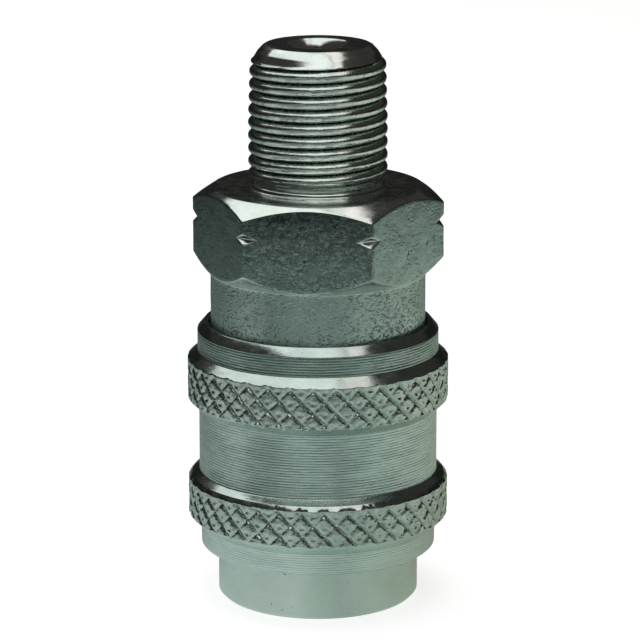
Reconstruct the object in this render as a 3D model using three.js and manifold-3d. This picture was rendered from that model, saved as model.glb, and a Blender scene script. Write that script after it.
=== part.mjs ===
// Quick disconnect coupler, female half, with a 1/8-27 taper pipe thread.
// Millimetres, +Z up. The origin is on the axis, at the face of the nose that the coupler stands on.
// The pipe thread points up, so pulling the sleeve back towards the hexagon is a move along +Z.
import * as THREE from "three";
import { mergeVertices } from "three/addons/utils/BufferGeometryUtils.js";
import Module from "manifold-3d";

const wasm = await Module();
wasm.setup();

// Driving dimensions.
const TOTAL_LENGTH = 41.27;
const NOSE_R = 7.41;
const PLUG_BORE_R = 4.9;
const PROBE_BORE_R = 3.3;
const CHAMBER_R = 4.2;
const FLOW_BORE_R = 1.95;
const FLOW_MOUTH_R = 2.45;
const NECK_R = 7.88;
const NECK_FOOT_Z = 19.0;
const NECK_TOP_Z = 24.5;
const HEX_ACROSS_FLATS = 16;
const HEX_TOP_Z = 30.87;
const HEX_TOP_FLAT_R = 7.65;
const HEX_CHAMFER_SLOPE = 0.67;
const HEX_UNDERCHAMFER_SLOPE = 0.95;
const HEX_GROOVE_Z = 28.45;
const HEX_GROOVE_FLOOR_R = 8.76;
const HEX_GROOVE_SLOPE = 0.97;
const KNURL_R = 9.63;
const SLEEVE_FOOT_Z = 3.87;
const SLEEVE_TOP_Z = 20.85;
const SLEEVE_BORE_R = 8.08;
const LAND_R = 7.5;
const BALL_R = 1.5;
const BALL_COUNT = 6;
const BALL_Z = 9.0;
const RUNNING_GAP = 0.1;

// The pipe thread: 27 threads per inch, tapering 1 in 16 on the diameter.
const THREAD_PITCH = 25.4 / 27;
const THREAD_TAPER = 1 / 32;
const THREAD_DEPTH = 0.6;
const THREAD_END_R = 4.9;
const CREST_LIMIT_R = 5.07;
const END_FACE_R = 3.8;
const RELIEF_R = 4.72;
const THREAD_FOOT_Z = 31.75;
const COLLAR_R = 4.985;

// How many flats stand for a full circle on the large turned pieces and on the small ones.
const LARGE_ROUND = 40;
const SMALL_ROUND = 28;

const group = new THREE.Group();

// ---------- materials ----------

function metal(color, roughness, metalness = 1) {
  return new THREE.MeshStandardMaterial({ color, roughness, metalness });
}

const forgedSteel = metal(0x6f7f7b, 0.45);
const turnedSteel = metal(0x84958f, 0.35);
const noseSteel = metal(0x93a69c, 0.4);
const ballSteel = metal(0xc4c9cb, 0.12);
const springSteel = metal(0x8b8e90, 0.3);
const valveBrass = metal(0xb79a58, 0.32);
const sealRubber = metal(0x17191a, 0.7, 0);
const backupPlastic = metal(0xe6e3da, 0.55, 0);

// ---------- helpers ----------

function add(name, geometry, material) {
  const mesh = new THREE.Mesh(geometry, material);
  mesh.name = name;
  group.add(mesh);
  return mesh;
}

// A closed outline of [radius, height] points, turned about the Z axis. The outline runs anticlockwise.
function turned(outline, flats = LARGE_ROUND) {
  const points = [...outline, outline[0]].map(([r, z]) => new THREE.Vector2(r, z));
  return new THREE.LatheGeometry(points, flats).rotateX(Math.PI / 2);
}

function solidOf(geometry) {
  const bare = (geometry.index ? geometry.toNonIndexed() : geometry).clone();
  bare.deleteAttribute("normal");
  bare.deleteAttribute("uv");
  const merged = mergeVertices(bare, 1e-4);
  return new wasm.Manifold(
    new wasm.Mesh({
      numProp: 3,
      vertProperties: merged.attributes.position.array,
      triVerts: new Uint32Array(merged.index.array),
    }),
  );
}

function geometryOf(solid) {
  const mesh = solid.getMesh();
  const geometry = new THREE.BufferGeometry();
  geometry.setAttribute("position", new THREE.BufferAttribute(mesh.vertProperties, 3));
  geometry.setIndex(new THREE.BufferAttribute(mesh.triVerts, 1));
  return geometry;
}

// A ring of round section, turned about the Z axis.
function roundRing(radius, sectionR, z, sides = 6, flats = SMALL_ROUND) {
  return new THREE.TorusGeometry(radius, sectionR, sides, flats).translate(0, 0, z);
}

// Round wire along a curve, with flat ends.
function wire(curve, wireR, steps, sides = 6) {
  const section = new THREE.Shape();
  section.absarc(0, 0, wireR, 0, 2 * Math.PI);
  return new THREE.ExtrudeGeometry(section, {
    extrudePath: curve,
    steps,
    // A round outline gets two points for each of these.
    curveSegments: sides / 2,
    bevelEnabled: false,
  });
}

// The line of a compression spring: a closed coil at each end, and an even pitch between them.
class SpringLine extends THREE.Curve {
  constructor({ radius, footZ, topZ, wireR, coils }) {
    super();
    Object.assign(this, { radius, footZ, topZ, wireR, coils });
  }
  getPoint(t, target = new THREE.Vector3()) {
    const turn = t * this.coils;
    const closedPitch = 2 * this.wireR * 1.06;
    const openCoils = this.coils - 2;
    const travel = this.topZ - this.footZ - 2 * this.wireR - 2 * closedPitch;
    const open = Math.min(Math.max(turn - 1, 0), openCoils);
    const closed = Math.min(turn, 1) + Math.max(turn - 1 - openCoils, 0);
    const z = this.footZ + this.wireR + closed * closedPitch + (open / openCoils) * travel;
    const angle = 2 * Math.PI * turn;
    return target.set(this.radius * Math.cos(angle), this.radius * Math.sin(angle), z);
  }
}

// A tapered screw: each row of vertices follows the helix, three rows to a pitch.
// After a full turn a row has risen to the place of the row three above it, which closes the side.
function taperedScrew({ footZ, turns, crestR, depth, pitch, flats }) {
  const shares = [0, 0.14, 0.57];
  const cuts = [0, 0, depth];
  const rowCount = 3 * turns + 1;
  const columnRows = rowCount + 3;
  const positions = [];
  for (let j = 0; j < flats; j++) {
    const angle = (2 * Math.PI * j) / flats;
    for (let i = 0; i < columnRows; i++) {
      const z = footZ + (Math.floor(i / 3) + shares[i % 3] + j / flats) * pitch;
      const r = crestR(z) - cuts[i % 3];
      positions.push(r * Math.cos(angle), r * Math.sin(angle), z);
    }
  }
  const footCentre = flats * columnRows;
  const topCentre = footCentre + 1;
  positions.push(0, 0, footZ, 0, 0, footZ + (turns + 1) * pitch);

  const at = (j, i) => (j === flats ? i + 3 : j * columnRows + i);
  const index = [];
  for (let j = 0; j < flats; j++) {
    for (let i = 0; i < rowCount - 1; i++) {
      index.push(at(j, i), at(j + 1, i), at(j, i + 1));
      index.push(at(j, i + 1), at(j + 1, i), at(j + 1, i + 1));
    }
    index.push(footCentre, at(j + 1, 0), at(j, 0));
    index.push(topCentre, at(j, rowCount - 1), at(j + 1, rowCount - 1));
  }
  // The step left where each end meets itself a pitch higher.
  for (let i = 0; i < 3; i++) {
    index.push(footCentre, at(0, i), at(0, i + 1));
    index.push(topCentre, at(0, rowCount + i), at(0, rowCount - 1 + i));
  }
  const geometry = new THREE.BufferGeometry();
  geometry.setAttribute("position", new THREE.Float32BufferAttribute(positions, 3));
  geometry.setIndex(index);
  return geometry;
}

// ---------- adapter: pipe thread, hexagon and neck in one forging ----------

function adapterBody() {
  const crestR = (z) => Math.min(THREAD_END_R + (TOTAL_LENGTH - z) * THREAD_TAPER, CREST_LIMIT_R);
  const threadedLength = TOTAL_LENGTH - THREAD_FOOT_Z;
  const screw = solidOf(
    taperedScrew({
      footZ: THREAD_FOOT_Z - 2 * THREAD_PITCH,
      turns: Math.ceil(threadedLength / THREAD_PITCH) + 2,
      crestR,
      depth: THREAD_DEPTH,
      pitch: THREAD_PITCH,
      flats: 32,
    }),
  );
  const outsideThread = CREST_LIMIT_R + 0.05;
  const stemEnvelope = solidOf(
    turned([
      [0, THREAD_FOOT_Z - 0.35],
      [RELIEF_R - 0.1, THREAD_FOOT_Z - 0.35],
      [outsideThread, THREAD_FOOT_Z + 0.2],
      [outsideThread, TOTAL_LENGTH - 1.3],
      [4.68, TOTAL_LENGTH - 1.15],
      [4.33, TOTAL_LENGTH - 0.55],
      [END_FACE_R, TOTAL_LENGTH],
      [0, TOTAL_LENGTH],
    ]),
  );
  const collarTopZ = HEX_TOP_Z + 0.39;
  const collar = solidOf(
    turned([
      [0, HEX_TOP_Z - 2],
      [COLLAR_R, HEX_TOP_Z - 2],
      [COLLAR_R, collarTopZ - 0.25],
      [RELIEF_R, collarTopZ],
      [RELIEF_R, THREAD_FOOT_Z],
      [0, THREAD_FOOT_Z],
    ]),
  );

  const hexSide = new THREE.Shape();
  const cornerR = HEX_ACROSS_FLATS / Math.sqrt(3);
  for (let k = 0; k < 6; k++) {
    const angle = (k * Math.PI) / 3;
    const [x, y] = [cornerR * Math.cos(angle), cornerR * Math.sin(angle)];
    if (k === 0) hexSide.moveTo(x, y);
    else hexSide.lineTo(x, y);
  }
  const hexPrism = new THREE.ExtrudeGeometry(hexSide, { depth: HEX_TOP_Z - NECK_TOP_Z + 1, bevelEnabled: false });
  hexPrism.translate(0, 0, NECK_TOP_Z - 0.5);
  // The turned envelope gives the chamfer under and over the hexagon and the groove that nicks its corners.
  const outside = cornerR + 0.4;
  const grooveRise = (outside - HEX_GROOVE_FLOOR_R) * HEX_GROOVE_SLOPE;
  const hexEnvelope = turned([
    [0, NECK_TOP_Z],
    [NECK_R, NECK_TOP_Z],
    [outside, NECK_TOP_Z + (outside - NECK_R) * HEX_UNDERCHAMFER_SLOPE],
    [outside, HEX_GROOVE_Z - grooveRise],
    [HEX_GROOVE_FLOOR_R, HEX_GROOVE_Z],
    [outside, HEX_GROOVE_Z + grooveRise],
    [outside, HEX_TOP_Z - (outside - HEX_TOP_FLAT_R) * HEX_CHAMFER_SLOPE],
    [HEX_TOP_FLAT_R, HEX_TOP_Z],
    [0, HEX_TOP_Z],
  ]);
  const hexagon = solidOf(hexPrism).intersect(solidOf(hexEnvelope));
  const neck = solidOf(
    turned([
      [0, NECK_FOOT_Z],
      [NECK_R - 0.25, NECK_FOOT_Z],
      [NECK_R, NECK_FOOT_Z + 0.25],
      [NECK_R, NECK_TOP_Z + 0.2],
      [0, NECK_TOP_Z + 0.2],
    ]),
  );
  // The socket for the body's rear thread, the seal bore, the valve guide's seat and the flow bore.
  const inside = solidOf(
    turned([
      [0, NECK_FOOT_Z - 1],
      [6.4, NECK_FOOT_Z - 1],
      [6.4, 22.6],
      [5.85, 22.9],
      [5.85, 26.05],
      [3.7, 26.05],
      [3.7, 28.3],
      [FLOW_BORE_R, 29.6],
      [FLOW_BORE_R, TOTAL_LENGTH - 0.95],
      [FLOW_MOUTH_R - 0.22, TOTAL_LENGTH - 0.24],
      [FLOW_MOUTH_R, TOTAL_LENGTH],
      [FLOW_MOUTH_R, TOTAL_LENGTH + 1],
      [0, TOTAL_LENGTH + 1],
    ]),
  );
  return geometryOf(screw.intersect(stemEnvelope).add(collar).add(hexagon).add(neck).subtract(inside));
}

add("adapter_body", adapterBody(), forgedSteel);

// ---------- socket body: nose, ball cage, seal gland, valve seat and rear thread ----------

function socketBody() {
  const shell = solidOf(
    turned([
      [5.3, 0],
      [7.08, 0],
      [NOSE_R, 0.33],
      [NOSE_R, 5.2],
      [6.96, 5.2],
      [6.96, 6.3],
      [NOSE_R, 6.3],
      [NOSE_R, 10.55],
      [6.6, 10.9],
      [6.6, 18.7],
      [6.3, 18.7],
      [6.3, 22.25],
      [5.75, 22.5],
      [5.75, 22.85],
      [5.05, 22.85],
      [5.05, 24.25],
      [5.75, 24.25],
      [5.75, 24.7],
      [CHAMBER_R, 24.7],
      [CHAMBER_R, 16.3],
      [PROBE_BORE_R, 15.4],
      [PROBE_BORE_R, 14.6],
      [4.45, 14.6],
      [4.45, 12.4],
      [PROBE_BORE_R, 12.4],
      [PROBE_BORE_R, 11.8],
      [PLUG_BORE_R, 11.2],
      [PLUG_BORE_R, 0.5],
    ]),
  );
  // Each ball hole narrows towards the bore, so that its ball can't drop in.
  const lipDepth = 5.6;
  const pocket = turned(
    [
      [0, 4],
      [1.28, 4],
      [1.28, PLUG_BORE_R],
      [BALL_R + RUNNING_GAP, lipDepth],
      [BALL_R + RUNNING_GAP, NOSE_R + 1],
      [0, NOSE_R + 1],
    ],
    16,
  ).rotateY(Math.PI / 2);
  let body = shell;
  for (let k = 0; k < BALL_COUNT; k++) {
    const angle = (2 * Math.PI * k) / BALL_COUNT;
    const drill = pocket.clone().rotateZ(angle).translate(0, 0, BALL_Z);
    body = body.subtract(solidOf(drill));
  }
  return geometryOf(body);
}

add("socket_body", socketBody(), noseSteel);

// ---------- locking sleeve ----------

function sleeve() {
  const shoulderZ = 6.2;
  return turned([
    [8.12, SLEEVE_FOOT_Z],
    [8.54, SLEEVE_FOOT_Z],
    [8.67, SLEEVE_FOOT_Z + 0.13],
    [8.7, 5.4],
    [KNURL_R, 6.25],
    [KNURL_R, 8.95],
    [9.33, 9.28],
    [8.79, 9.63],
    [8.785, 14.37],
    [KNURL_R, 15.15],
    [KNURL_R, 18.09],
    [8.87, 18.72],
    [8.87, 20.22],
    [8.5, 20.64],
    [8.36, 20.81],
    [8.18, SLEEVE_TOP_Z],
    [SLEEVE_BORE_R, SLEEVE_TOP_Z - 0.1],
    [SLEEVE_BORE_R, 11.0],
    [LAND_R, 11.0],
    [LAND_R, 8.9],
    [7.87, shoulderZ],
    [8.12, shoulderZ],
  ]);
}

add("locking_sleeve", sleeve(), turnedSteel);

// ---------- sleeve washer, spring and retaining ring ----------

const washerFootZ = 11.08;
const washerTopZ = 11.7;

add(
  "sleeve_washer",
  turned([
    [6.75, washerFootZ],
    [7.93, washerFootZ],
    [7.93, washerTopZ],
    [6.75, washerTopZ],
  ]),
  springSteel,
);

const sleeveSpring = new SpringLine({ radius: 7.22, footZ: 11.75, topZ: 18.95, wireR: 0.33, coils: 4.5 });
add("sleeve_spring", wire(sleeveSpring, sleeveSpring.wireR, 72), springSteel);

// The retaining ring is a wire circle with a gap, snapped into the groove near the nose.
class OpenCircle extends THREE.Curve {
  constructor(radius, z, gap) {
    super();
    Object.assign(this, { radius, z, gap });
  }
  getPoint(t, target = new THREE.Vector3()) {
    const angle = this.gap / 2 + t * (2 * Math.PI - this.gap) + Math.PI / 2;
    return target.set(this.radius * Math.cos(angle), this.radius * Math.sin(angle), this.z);
  }
}

add("retaining_ring", wire(new OpenCircle(7.5, 5.75, 0.3), 0.5, 36, 8), springSteel);

// ---------- locking balls ----------

for (let k = 0; k < BALL_COUNT; k++) {
  const angle = (2 * Math.PI * k) / BALL_COUNT;
  const centreR = NOSE_R - BALL_R;
  const ball = add(`locking_ball_${k + 1}`, new THREE.IcosahedronGeometry(BALL_R, 1), ballSteel);
  ball.position.set(centreR * Math.cos(angle), centreR * Math.sin(angle), BALL_Z);
}

// ---------- seals ----------

add("interface_seal", roundRing(3.8, 0.6, 13.06), sealRubber);
add(
  "interface_backup_ring",
  turned(
    [
      [3.36, 13.74],
      [4.4, 13.74],
      [4.4, 14.54],
      [3.36, 14.54],
    ],
    SMALL_ROUND,
  ),
  backupPlastic,
);
add("body_seal", roundRing(5.46, 0.37, 23.24), sealRubber);
add(
  "body_backup_ring",
  turned(
    [
      [5.1, 23.66],
      [5.8, 23.66],
      [5.8, 24.2],
      [5.1, 24.2],
    ],
    SMALL_ROUND,
  ),
  backupPlastic,
);

// ---------- poppet valve, its seal, spring and guide ----------

const STEM_R = 0.95;

add(
  "valve_poppet",
  turned(
    [
      [0, 12.3],
      [1.2, 12.3],
      [1.5, 12.6],
      [1.5, 14.45],
      [2.6, 14.84],
      [3.1, 15.34],
      [2.7, 15.42],
      [2.7, 16.38],
      [3.85, 16.42],
      [3.85, 17.3],
      [3.45, 17.7],
      [1.6, 17.7],
      [1.6, 18.3],
      [STEM_R, 18.5],
      [STEM_R, 25.2],
      [0.7, 25.5],
      [0, 25.5],
    ],
    SMALL_ROUND,
  ),
  valveBrass,
);

add("valve_seal", roundRing(3.16, 0.42, 15.9), sealRubber);

const valveSpring = new SpringLine({ radius: 2.6, footZ: 17.75, topZ: 24.8, wireR: 0.25, coils: 6 });
add("valve_spring", wire(valveSpring, valveSpring.wireR, 84), springSteel);

// The guide is a hub that the stem slides in, held by three legs from an outer ring.
function valveGuide() {
  const footZ = 24.85;
  const topZ = 25.95;
  const ring = solidOf(
    turned(
      [
        [4.4, footZ],
        [5.7, footZ],
        [5.7, topZ],
        [4.4, topZ],
      ],
      SMALL_ROUND,
    ),
  );
  const hub = solidOf(
    turned(
      [
        [0, 23.4],
        [1.8, 23.4],
        [1.8, footZ],
        [3.1, footZ],
        [3.1, topZ],
        [0, topZ],
      ],
      SMALL_ROUND,
    ),
  );
  const stemHole = solidOf(
    turned(
      [
        [0, 22],
        [STEM_R + RUNNING_GAP, 22],
        [STEM_R + RUNNING_GAP, 27],
        [0, 27],
      ],
      SMALL_ROUND,
    ),
  );
  let guide = ring.add(hub);
  const legCount = 3;
  for (let k = 0; k < legCount; k++) {
    const leg = new THREE.BoxGeometry(2.4, 1.4, topZ - footZ);
    leg.translate(3.8, 0, (footZ + topZ) / 2).rotateZ((2 * Math.PI * k) / legCount);
    guide = guide.add(solidOf(leg));
  }
  return geometryOf(guide.subtract(stemHole));
}

add("valve_guide", valveGuide(), valveBrass);

export default group;
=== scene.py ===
from math import atan2, ceil, cos, degrees, floor, hypot, pi, radians, sin, tan

import bmesh
import bpy
from mathutils import Matrix, Vector, noise


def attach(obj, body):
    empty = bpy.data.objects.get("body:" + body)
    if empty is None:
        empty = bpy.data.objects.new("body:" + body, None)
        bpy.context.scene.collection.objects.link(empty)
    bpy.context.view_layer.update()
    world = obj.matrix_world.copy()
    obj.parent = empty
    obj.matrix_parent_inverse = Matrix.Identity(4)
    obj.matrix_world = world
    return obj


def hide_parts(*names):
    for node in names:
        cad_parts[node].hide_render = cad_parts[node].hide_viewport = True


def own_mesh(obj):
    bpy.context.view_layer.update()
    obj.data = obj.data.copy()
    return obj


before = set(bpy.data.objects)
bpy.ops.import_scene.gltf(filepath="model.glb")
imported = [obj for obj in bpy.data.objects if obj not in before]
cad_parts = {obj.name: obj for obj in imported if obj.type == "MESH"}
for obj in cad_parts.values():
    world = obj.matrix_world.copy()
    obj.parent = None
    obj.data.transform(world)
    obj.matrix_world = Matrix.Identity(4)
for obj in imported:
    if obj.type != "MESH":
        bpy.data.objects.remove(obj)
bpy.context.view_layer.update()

mm = 0.001
zAxis = (0, 0, 1)
tiny = 1e-7  # metres, between points that should be one
seam = 2e-6  # metres, between the edges of shells that meet
print("frame loaded")


# making meshes

def soften(outline, radius=0.05, closed=True, arcSteps=3):
    # rounds each corner of an outline with a small arc, which takes no more than part of either side
    leastTurn, mostReach = 6, 0.4
    soft = []
    count = len(outline)
    for i, (r, z) in enumerate(outline):
        if not closed and i in (0, count - 1):
            soft.append((r, z))
            continue
        here = Vector((r, z))
        back = Vector(outline[i - 1]) - here
        ahead = Vector(outline[(i + 1) % count]) - here
        turn = pi - back.angle(ahead)
        if turn < radians(leastTurn) or r < 1e-6:
            soft.append((r, z))
            continue
        reach = min(radius * tan(turn / 2), mostReach * back.length, mostReach * ahead.length)
        start = here + back.normalized() * reach
        end = here + ahead.normalized() * reach
        for k in range(arcSteps + 1):
            t = k / arcSteps
            point = start * (1 - t) ** 2 + here * 2 * t * (1 - t) + end * t ** 2
            soft.append((point.x, point.y))
    return soft


def spun(bm, geom, angle, steps, rise=0.0, copies=False):
    # a spin about the axis that climbs by rise, in metres, at each step
    return bmesh.ops.spin(bm, geom=geom, cent=(0, 0, 0), axis=zAxis, dvec=(0, 0, rise), angle=angle,
                          steps=steps, use_merge=False, use_normal_flip=False, use_duplicate=copies)


def rotated(bm, verts, angle, axis):
    bmesh.ops.rotate(bm, verts=verts, cent=(0, 0, 0), matrix=Matrix.Rotation(angle, 3, axis))


def meshObject(name, bm):
    mesh = bpy.data.meshes.new(name)
    bm.to_mesh(mesh)
    bm.free()
    thing = bpy.data.objects.new(name, mesh)
    bpy.context.scene.collection.objects.link(thing)
    return thing


def wireOutline(bm, outline, closed=True):
    verts = [bm.verts.new((r * mm, 0, z * mm)) for r, z in outline]
    pairs = list(zip(verts, verts[1:]))
    if closed:
        pairs.append((verts[-1], verts[0]))
    return verts, [bm.edges.new(pair) for pair in pairs]


def turned(outline, steps=192, closed=True, sectors=12):
    # turns an outline of (radius, height) about the axis: one sector is spun, then copied round
    bm = bmesh.new()
    verts, edges = wireOutline(bm, outline, closed)
    sector = 2 * pi / sectors
    spun(bm, verts + edges, sector, steps // sectors)
    spun(bm, bm.verts[:] + bm.edges[:] + bm.faces[:], 2 * pi - sector, sectors - 1, copies=True)
    bmesh.ops.remove_doubles(bm, verts=bm.verts, dist=tiny)
    bmesh.ops.recalc_face_normals(bm, faces=bm.faces)
    return bm


def turnedGrid(rowCount, columnCount, place, closed=True):
    # a turned sheet whose every vertex is then put where place(row, angle) says
    ladder = [(1.0, row) for row in range(rowCount)]
    bm = turned(ladder, columnCount, closed)
    for vert in bm.verts:
        row = round(vert.co.z / mm)
        angle = atan2(vert.co.y, vert.co.x)
        x, y, z = place(row, angle)
        vert.co = Vector((x, y, z)) * mm
    bmesh.ops.recalc_face_normals(bm, faces=bm.faces)
    return bm


def openRing(bm, height, lowR=0.0, highR=100.0):
    # the vertices of an open rim at a height, between two radii, in order round the axis
    rim = [v for v in bm.verts if v.is_boundary and abs(v.co.z / mm - height) < 0.01
           and lowR < v.co.xy.length / mm < highR]
    return sorted(rim, key=lambda v: atan2(v.co.y, v.co.x))


def zipRings(bm, first, second):
    # joins two rims with a strip of triangles, always stepping on whichever rim is behind
    def turnAt(ring, i):
        vert = ring[i % len(ring)]
        return atan2(vert.co.y, vert.co.x) + 2 * pi * (i // len(ring))

    i = j = 0
    while i < len(first) or j < len(second):
        a = first[i % len(first)]
        b = second[j % len(second)]
        if j >= len(second) or (i < len(first) and turnAt(first, i + 1) <= turnAt(second, j + 1)):
            i += 1
            bm.faces.new((a, b, first[i % len(first)]))
        else:
            j += 1
            bm.faces.new((a, b, second[j % len(second)]))


def joined(target, source):
    # adds the second mesh to the first
    scrap = bpy.data.meshes.new("scrap")
    source.to_mesh(scrap)
    source.free()
    target.from_mesh(scrap)
    bpy.data.meshes.remove(scrap)


def cutBy(target, cutter):
    # takes the cutter's shape out of the target, and leaves a plain mesh
    block = meshObject("blank", target)
    tool = meshObject("tool", cutter)
    cut = block.modifiers.new("cut", "BOOLEAN")
    cut.operation = "DIFFERENCE"
    cut.solver = "EXACT"
    cut.object = tool
    depsgraph = bpy.context.evaluated_depsgraph_get()
    result = bmesh.new()
    result.from_mesh(block.evaluated_get(depsgraph).to_mesh())
    for thing in (block, tool):
        mesh = thing.data
        bpy.data.objects.remove(thing)
        bpy.data.meshes.remove(mesh)
    return result


def finishPiece(name, bm, body, node, finishes, paint=None, sharpAngle=38, weighted=True):
    # writes the mesh, gives it its finishes and hangs it on its body
    bmesh.ops.triangulate(bm, faces=[f for f in bm.faces if len(f.verts) > 4])
    for face in bm.faces:
        face.smooth = True
        if paint:
            centre = face.calc_center_median() / mm
            face.material_index = paint(hypot(centre.x, centre.y), centre.z, face.normal)
    piece = meshObject(name, bm)
    piece.data.set_sharp_from_angle(angle=radians(sharpAngle))
    for finish in finishes:
        piece.data.materials.append(finish)
    if weighted:
        shade = piece.modifiers.new("even shading", "WEIGHTED_NORMAL")
        shade.keep_sharp = True
    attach(piece, body)
    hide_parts(node)
    return piece


# finishes

class Finish:
    # a small helper that chains shader nodes for one finish
    def __init__(self, name):
        self.material = bpy.data.materials.new(name)
        self.material.use_nodes = True
        self.nodes = self.material.node_tree.nodes
        self.links = self.material.node_tree.links
        self.shader = self.nodes["Principled BSDF"]
        self.place = self.add("ShaderNodeTexCoord").outputs["Object"]

    def add(self, kind, inputs=None, **settings):
        node = self.nodes.new(kind)
        for key, value in settings.items():
            setattr(node, key, value)
        for key, value in (inputs or {}).items():
            if isinstance(value, bpy.types.NodeSocket):
                self.links.new(value, node.inputs[key])
            else:
                node.inputs[key].default_value = value
        return node

    def stretched(self, scale):
        return self.add("ShaderNodeMapping", {"Vector": self.place, "Scale": scale}).outputs["Vector"]

    def along(self, axis):
        # a coordinate of the surface, in metres
        return self.add("ShaderNodeSeparateXYZ", {0: self.place}).outputs[axis]

    def speckle(self, size, detail=3.0, roughness=0.55, where=None):
        # noise whose grains are about size millimetres across
        return self.add("ShaderNodeTexNoise", {
            "Vector": where or self.place, "Scale": 1000 / size, "Detail": detail,
            "Roughness": roughness}).outputs["Fac"]

    def ramp(self, value, stops):
        node = self.add("ShaderNodeValToRGB", {"Fac": value})
        ramp = node.color_ramp
        while len(ramp.elements) < len(stops):
            ramp.elements.new(0.5)
        for element, (position, shade) in zip(ramp.elements, stops):
            element.position = position
            element.color = shade if len(shade) == 4 else (*shade, 1)
        return node.outputs["Color"]

    def remap(self, value, low, high, fromLow=0.0, fromHigh=1.0):
        return self.add("ShaderNodeMapRange", {
            "Value": value, "From Min": fromLow, "From Max": fromHigh,
            "To Min": low, "To Max": high}).outputs["Result"]

    def maths(self, operation, first, second=0.0):
        return self.add("ShaderNodeMath", {0: first, 1: second}, operation=operation).outputs["Value"]

    def times(self, first, second):
        return self.maths("MULTIPLY", first, second)

    def tint(self, amount, first, second, blend="MIX"):
        node = self.add("ShaderNodeMix", data_type="RGBA", blend_type=blend)
        for key, value in ((0, amount), (6, first), (7, second)):
            if isinstance(value, bpy.types.NodeSocket):
                self.links.new(value, node.inputs[key])
            else:
                node.inputs[key].default_value = value
        return node.outputs[2]

    def bump(self, height, depth, under=None):
        # depth in millimetres, laid over the bump that is under it
        inputs = {"Height": height, "Distance": depth * mm, "Strength": 1.0}
        if under:
            inputs["Normal"] = under
        return self.add("ShaderNodeBump", inputs).outputs["Normal"]

    def set(self, **sockets):
        for key, value in sockets.items():
            name = {"color": "Base Color", "roughness": "Roughness", "metallic": "Metallic",
                    "normal": "Normal", "specular": "Specular IOR Level"}[key]
            if isinstance(value, bpy.types.NodeSocket):
                self.links.new(value, self.shader.inputs[name])
            else:
                self.shader.inputs[name].default_value = value
        return self.material


    def glowing(self, color, strength):
        # a surface that only shines
        self.set(color=(0, 0, 0, 1), roughness=1.0, specular=0.0)
        self.links.new(color, self.shader.inputs["Emission Color"])
        self.shader.inputs["Emission Strength"].default_value = strength
        return self.material


def feedMarks(f, feed, wobble=0.06):
    # the fine spiral that a turning tool leaves: one ridge for each feed of height, in millimetres
    turns = f.maths("DIVIDE", f.maths("ARCTAN2", f.along("Y"), f.along("X")), 2 * pi)
    height = f.times(f.along("Z"), 1 / mm)
    drift = f.speckle(1.6, 3.0, where=f.stretched((1, 1, 6)))
    shifted = f.maths("ADD", height, f.times(drift, wobble))
    phase = f.maths("SUBTRACT", f.maths("DIVIDE", shifted, feed), turns)
    return f.maths("PINGPONG", f.maths("FRACT", phase), 0.5)


def crinkles(f, size, depth, low, high, under=None):
    # small raised and sunken marks with calm metal between them, a little wider than they are high
    raisedNoise = f.speckle(size, 2.0, 0.5, where=f.stretched((1, 1, 1.5)))
    sunkenNoise = f.speckle(size * 0.8, 2.0, 0.5, where=f.stretched((1.1, 0.9, 1.9)))
    raised = f.remap(raisedNoise, 0.0, 1.0, low, high)
    sunken = f.remap(sunkenNoise, 0.0, 1.0, low, high)
    uneven = f.remap(f.speckle(1.7, 2.0), 0.35, 1.0, 0.38, 0.62)
    marks = f.times(f.maths("SUBTRACT", raised, sunken), uneven)
    return f.bump(marks, depth, under), sunken


forging = {
    "frontFlatY": (-0.0077, -0.0079),  # metres: where the front flat begins
    "frontShadeZ": (0.0265, 0.0305),  # metres: the painted shade on the front flat, darker towards its top, grows between these heights
    # painted shade for the front flat: light at its foot, dark at its top
    "scale": [(0.0, (0.95, 0.95, 0.95)), (0.45, (0.72, 0.72, 0.72)), (1.0, (0.27, 0.27, 0.27))],
    "steel": [(0.3, (0.31, 0.38, 0.36)), (0.5, (0.35, 0.43, 0.41)), (0.72, (0.40, 0.49, 0.465))],
    # colour of random dark pits, also used as painted shade in the front flat's sunken marks
    "pit": (0.03, 0.035, 0.034, 1),
}


def forgedZinc():
    # the front flat is the roughest, the others are nearly smooth
    f = Finish("forged zinc")
    front = f.remap(f.along("Y"), 0.0, 1.0, *forging["frontFlatY"])
    normal = f.bump(f.speckle(1.3, 2.0), 0.012)
    smoothSide, _ = crinkles(f, 0.55, 0.008, 0.58, 0.66, normal)
    roughSide, dentShade = crinkles(f, 0.34, 0.060, 0.55, 0.71, normal)
    normal = f.tint(front, smoothSide, roughSide)
    normal = f.bump(f.speckle(0.13, 3.0, 0.6), 0.003, normal)
    color = f.ramp(f.speckle(2.2, 4.0, 0.6), forging["steel"])
    # painted shade: only the front flat's colour is multiplied darker towards its top
    scale = f.ramp(f.remap(f.along("Z"), 0.0, 1.0, *forging["frontShadeZ"]), forging["scale"])
    color = f.tint(front, color, scale, "MULTIPLY")
    # painted shade: the front flat's sunken marks are darkened where the bump sinks
    color = f.tint(f.times(f.times(dentShade, front), 0.6), color, forging["pit"])
    pits = f.remap(f.speckle(0.42, 2.0, 0.5), 0.0, 1.0, 0.66, 0.72)
    color = f.tint(f.times(pits, 0.75), color, forging["pit"])
    return f.set(color=color, metallic=1.0, normal=normal,
                 roughness=f.remap(f.speckle(0.8, 4.0), 0.18, 0.30, 0.3, 0.7))


def neckZinc():
    f = Finish("hammered zinc neck")
    normal = f.bump(f.speckle(1.1, 2.0), 0.012)
    normal, dentShade = crinkles(f, 0.34, 0.060, 0.555, 0.72, normal)
    normal = f.bump(f.speckle(0.14, 3.0, 0.6), 0.005, normal)
    color = f.ramp(f.speckle(2.0, 4.0), [(0.3, (0.44, 0.54, 0.51)), (0.7, (0.54, 0.65, 0.62))])
    # painted shade: the neck's sunken marks are darkened where the bump sinks
    color = f.tint(f.times(dentShade, 0.2), color, (0.04, 0.045, 0.044, 1))
    return f.set(color=color, metallic=1.0, normal=normal,
                 roughness=f.remap(f.speckle(0.9, 3.0), 0.30, 0.42))


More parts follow.
